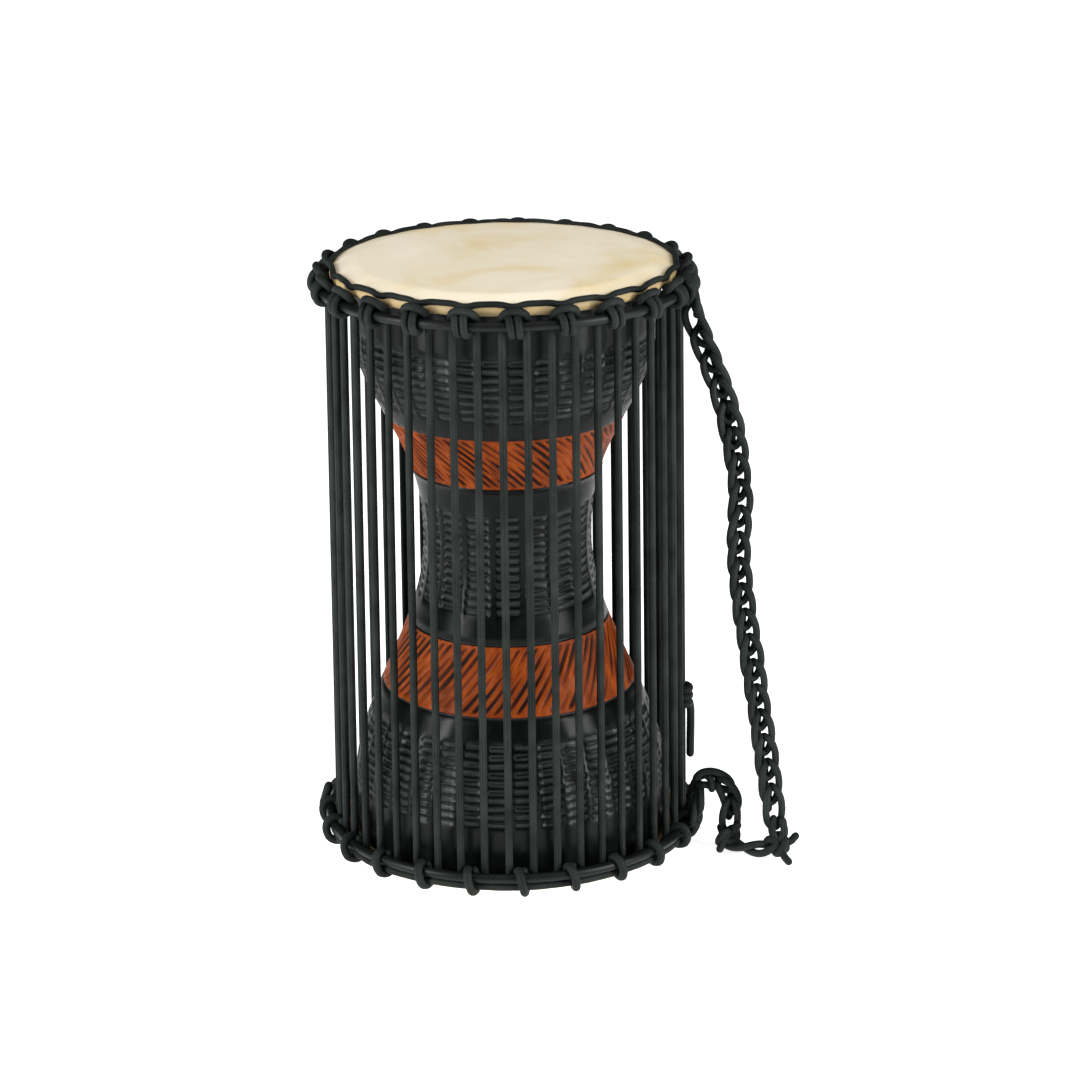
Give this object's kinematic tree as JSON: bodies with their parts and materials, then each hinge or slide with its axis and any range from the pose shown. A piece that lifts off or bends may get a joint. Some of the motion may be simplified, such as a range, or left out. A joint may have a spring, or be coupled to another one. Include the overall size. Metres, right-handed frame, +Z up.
{
  "type": "talking drum",
  "caption": "Hourglass talking drum: a waisted, carved wooden shell between two skin heads, laced ring to ring, so that squeezing the cords raises its pitch.",
  "frame": {"origin": "on the ground, at the centre of the lower head's face", "axes": "+Z up along the drum's axis towards the playing head; -Y is the front; the strap hangs on the +X side"},
  "size_m": [0.3284, 0.2589, 0.396],
  "materials": {
    "carved_wood": "satin black stain with orange-brown carved bands",
    "goatskin": "natural, matte, slightly mottled",
    "cane": "raw",
    "ring_rod": "satin black",
    "rim_cord": "matte braided cord",
    "lacing_cord": "matte braided cord",
    "strap_cord": "matte braided cord"
  },
  "bodies": {
    "shell": {"drum_shell": "carved_wood", "top_skin": "goatskin", "bottom_skin": "goatskin", "strap_long": "strap_cord", "strap_long_knot": "strap_cord", "strap_short": "strap_cord", "strap_short_knot": "strap_cord", "strap_top_hitch": "strap_cord", "strap_bottom_hitch": "strap_cord"},
    "top_rim": {"top_flesh_hoop": "cane", "top_lacing_ring": "ring_rod", "top_crown_cord": "rim_cord", "top_ring_wraps": "rim_cord", "top_lacing_bights": "lacing_cord"},
    "bottom_rim": {"bottom_flesh_hoop": "cane", "bottom_lacing_ring": "ring_rod", "bottom_crown_cord": "rim_cord", "bottom_ring_wraps": "rim_cord", "bottom_lacing_bights": "lacing_cord", "lacing_start_tuck": "lacing_cord"},
    "upper_sector_01": {"lacing_upper_01": "lacing_cord"},
    "lower_sector_01": {"lacing_lower_01": "lacing_cord"},
    "upper_sector_02": {"lacing_upper_02": "lacing_cord"},
    "lower_sector_02": {"lacing_lower_02": "lacing_cord"},
    "upper_sector_03": {"lacing_upper_03": "lacing_cord"},
    "lower_sector_03": {"lacing_lower_03": "lacing_cord", "lacing_end_knot": "lacing_cord"},
    "upper_sector_04": {"lacing_upper_04": "lacing_cord"},
    "lower_sector_04": {"lacing_lower_04": "lacing_cord"},
    "upper_sector_05": {"lacing_upper_05": "lacing_cord"},
    "lower_sector_05": {"lacing_lower_05": "lacing_cord"},
    "upper_sector_06": {"lacing_upper_06": "lacing_cord"},
    "lower_sector_06": {"lacing_lower_06": "lacing_cord"},
    "upper_sector_07": {"lacing_upper_07": "lacing_cord"},
    "lower_sector_07": {"lacing_lower_07": "lacing_cord"},
    "upper_sector_08": {"lacing_upper_08": "lacing_cord"},
    "lower_sector_08": {"lacing_lower_08": "lacing_cord"},
    "upper_sector_09": {"lacing_upper_09": "lacing_cord"},
    "lower_sector_09": {"lacing_lower_09": "lacing_cord"},
    "upper_sector_10": {"lacing_upper_10": "lacing_cord"},
    "lower_sector_10": {"lacing_lower_10": "lacing_cord"},
    "upper_sector_11": {"lacing_upper_11": "lacing_cord"},
    "lower_sector_11": {"lacing_lower_11": "lacing_cord"},
    "upper_sector_12": {"lacing_upper_12": "lacing_cord"},
    "lower_sector_12": {"lacing_lower_12": "lacing_cord"}
  },
  "joints": [
    {"name": "top_head_pull", "type": "slide", "parent": "shell", "child": "top_rim", "axis": [0, 0, -1], "range_m": [0, 0.0007], "stiffness_N_per_m": 20000, "deforming": ["top_skin"]},
    {"name": "bottom_head_pull", "type": "slide", "parent": "shell", "child": "bottom_rim", "axis": [0, 0, 1], "range_m": [0, 0.0007], "stiffness_N_per_m": 20000, "deforming": ["bottom_skin"]},
    {"name": "upper_squeeze_01", "type": "hinge", "parent": "top_rim", "child": "upper_sector_01", "pos_m": [0.02098, -0.1097, 0.381], "axis": [0.9822, 0.1878, 0], "range_deg": [0, 5], "stiffness_Nm_per_rad": 4},
    {"name": "lower_squeeze_01", "type": "hinge", "parent": "bottom_rim", "child": "lower_sector_01", "pos_m": [0.0215, -0.11242, 0.015], "axis": [-0.9822, -0.1878, 0], "range_deg": [0, 5], "stiffness_Nm_per_rad": 4},
    {"name": "upper_squeeze_02", "type": "hinge", "parent": "top_rim", "child": "upper_sector_02", "pos_m": [0.07492, -0.08283, 0.381], "axis": [0.7416, 0.6708, 0], "range_deg": [0, 5], "stiffness_Nm_per_rad": 4},
    {"name": "lower_squeeze_02", "type": "hinge", "parent": "bottom_rim", "child": "lower_sector_02", "pos_m": [0.07678, -0.08488, 0.015], "axis": [-0.7416, -0.6708, 0], "range_deg": [0, 5], "stiffness_Nm_per_rad": 4},
    {"name": "upper_squeeze_03", "type": "hinge", "parent": "top_rim", "child": "upper_sector_03", "pos_m": [0.10705, -0.03184, 0.381], "axis": [0.2851, 0.9585, 0], "range_deg": [0, 5], "stiffness_Nm_per_rad": 4},
    {"name": "lower_squeeze_03", "type": "hinge", "parent": "bottom_rim", "child": "lower_sector_03", "pos_m": [0.1097, -0.03263, 0.015], "axis": [-0.2851, -0.9585, 0], "range_deg": [0, 5], "stiffness_Nm_per_rad": 4},
    {"name": "upper_squeeze_04", "type": "hinge", "parent": "top_rim", "child": "upper_sector_04", "pos_m": [0.10801, 0.02842, 0.381], "axis": [-0.2544, 0.9671, 0], "range_deg": [0, 5], "stiffness_Nm_per_rad": 4},
    {"name": "lower_squeeze_04", "type": "hinge", "parent": "bottom_rim", "child": "lower_sector_04", "pos_m": [0.11069, 0.02912, 0.015], "axis": [0.2544, -0.9671, 0], "range_deg": [0, 5], "stiffness_Nm_per_rad": 4},
    {"name": "upper_squeeze_05", "type": "hinge", "parent": "top_rim", "child": "upper_sector_05", "pos_m": [0.07752, 0.0804, 0.381], "axis": [-0.7199, 0.6941, 0], "range_deg": [0, 5], "stiffness_Nm_per_rad": 4},
    {"name": "lower_squeeze_05", "type": "hinge", "parent": "bottom_rim", "child": "lower_sector_05", "pos_m": [0.07944, 0.08239, 0.015], "axis": [0.7199, -0.6941, 0], "range_deg": [0, 5], "stiffness_Nm_per_rad": 4},
    {"name": "upper_squeeze_06", "type": "hinge", "parent": "top_rim", "child": "upper_sector_06", "pos_m": [0.02446, 0.10897, 0.381], "axis": [-0.9757, 0.219, 0], "range_deg": [0, 5], "stiffness_Nm_per_rad": 4},
    {"name": "lower_squeeze_06", "type": "hinge", "parent": "bottom_rim", "child": "lower_sector_06", "pos_m": [0.02507, 0.11167, 0.015], "axis": [0.9757, -0.219, 0], "range_deg": [0, 5], "stiffness_Nm_per_rad": 4},
    {"name": "upper_squeeze_07", "type": "hinge", "parent": "top_rim", "child": "upper_sector_07", "pos_m": [-0.03572, 0.10582, 0.381], "axis": [-0.9475, -0.3198, 0], "range_deg": [0, 5], "stiffness_Nm_per_rad": 4},
    {"name": "lower_squeeze_07", "type": "hinge", "parent": "bottom_rim", "child": "lower_sector_07", "pos_m": [-0.0366, 0.10844, 0.015], "axis": [0.9475, 0.3198, 0], "range_deg": [0, 5], "stiffness_Nm_per_rad": 4},
    {"name": "upper_squeeze_08", "type": "hinge", "parent": "top_rim", "child": "upper_sector_08", "pos_m": [-0.0855, 0.07186, 0.381], "axis": [-0.6434, -0.7656, 0], "range_deg": [0, 5], "stiffness_Nm_per_rad": 4},
    {"name": "lower_squeeze_08", "type": "hinge", "parent": "bottom_rim", "child": "lower_sector_08", "pos_m": [-0.08762, 0.07364, 0.015], "axis": [0.6434, 0.7656, 0], "range_deg": [0, 5], "stiffness_Nm_per_rad": 4},
    {"name": "upper_squeeze_09", "type": "hinge", "parent": "top_rim", "child": "upper_sector_09", "pos_m": [-0.11039, 0.01697, 0.381], "axis": [-0.1519, -0.9884, 0], "range_deg": [0, 5], "stiffness_Nm_per_rad": 4},
    {"name": "lower_squeeze_09", "type": "hinge", "parent": "bottom_rim", "child": "lower_sector_09", "pos_m": [-0.11313, 0.01739, 0.015], "axis": [0.1519, 0.9884, 0], "range_deg": [0, 5], "stiffness_Nm_per_rad": 4},
    {"name": "upper_squeeze_10", "type": "hinge", "parent": "top_rim", "child": "upper_sector_10", "pos_m": [-0.10314, -0.04286, 0.381], "axis": [0.3837, -0.9234, 0], "range_deg": [0, 5], "stiffness_Nm_per_rad": 4},
    {"name": "lower_squeeze_10", "type": "hinge", "parent": "bottom_rim", "child": "lower_sector_10", "pos_m": [-0.10569, -0.04392, 0.015], "axis": [-0.3837, 0.9234, 0], "range_deg": [0, 5], "stiffness_Nm_per_rad": 4},
    {"name": "upper_squeeze_11", "type": "hinge", "parent": "top_rim", "child": "upper_sector_11", "pos_m": [-0.06585, -0.09021, 0.381], "axis": [0.8077, -0.5896, 0], "range_deg": [0, 5], "stiffness_Nm_per_rad": 4},
    {"name": "lower_squeeze_11", "type": "hinge", "parent": "bottom_rim", "child": "lower_sector_11", "pos_m": [-0.06748, -0.09244, 0.015], "axis": [-0.8077, 0.5896, 0], "range_deg": [0, 5], "stiffness_Nm_per_rad": 4},
    {"name": "upper_squeeze_12", "type": "hinge", "parent": "top_rim", "child": "upper_sector_12", "pos_m": [-0.02469, -0.11, 0.381], "axis": [0.9757, -0.219, 0], "range_deg": [0, 5], "stiffness_Nm_per_rad": 2},
    {"name": "lower_squeeze_12", "type": "hinge", "parent": "bottom_rim", "child": "lower_sector_12", "pos_m": [-0.0253, -0.11272, 0.015], "axis": [-0.9757, 0.219, 0], "range_deg": [0, 5], "stiffness_Nm_per_rad": 2}
  ],
  "couplings": [
    {"joint": "top_head_pull", "follows": "upper_squeeze_01", "m_per_rad": 0.008},
    {"joint": "bottom_head_pull", "follows": "upper_squeeze_01", "m_per_rad": 0.008},
    {"joint": "lower_squeeze_01", "follows": "upper_squeeze_01", "ratio": 1},
    {"joint": "upper_squeeze_02", "follows": "upper_squeeze_01", "ratio": 1},
    {"joint": "lower_squeeze_02", "follows": "upper_squeeze_01", "ratio": 1},
    {"joint": "upper_squeeze_03", "follows": "upper_squeeze_01", "ratio": 1},
    {"joint": "lower_squeeze_03", "follows": "upper_squeeze_01", "ratio": 1},
    {"joint": "upper_squeeze_04", "follows": "upper_squeeze_01", "ratio": 1},
    {"joint": "lower_squeeze_04", "follows": "upper_squeeze_01", "ratio": 1},
    {"joint": "upper_squeeze_05", "follows": "upper_squeeze_01", "ratio": 1},
    {"joint": "lower_squeeze_05", "follows": "upper_squeeze_01", "ratio": 1},
    {"joint": "upper_squeeze_06", "follows": "upper_squeeze_01", "ratio": 1},
    {"joint": "lower_squeeze_06", "follows": "upper_squeeze_01", "ratio": 1},
    {"joint": "upper_squeeze_07", "follows": "upper_squeeze_01", "ratio": 1},
    {"joint": "lower_squeeze_07", "follows": "upper_squeeze_01", "ratio": 1},
    {"joint": "upper_squeeze_08", "follows": "upper_squeeze_01", "ratio": 1},
    {"joint": "lower_squeeze_08", "follows": "upper_squeeze_01", "ratio": 1},
    {"joint": "upper_squeeze_09", "follows": "upper_squeeze_01", "ratio": 1},
    {"joint": "lower_squeeze_09", "follows": "upper_squeeze_01", "ratio": 1},
    {"joint": "upper_squeeze_10", "follows": "upper_squeeze_01", "ratio": 1},
    {"joint": "lower_squeeze_10", "follows": "upper_squeeze_01", "ratio": 1},
    {"joint": "upper_squeeze_11", "follows": "upper_squeeze_01", "ratio": 1},
    {"joint": "lower_squeeze_11", "follows": "upper_squeeze_01", "ratio": 1},
    {"joint": "upper_squeeze_12", "follows": "upper_squeeze_01", "ratio": 1},
    {"joint": "lower_squeeze_12", "follows": "upper_squeeze_01", "ratio": 1}
  ]
}
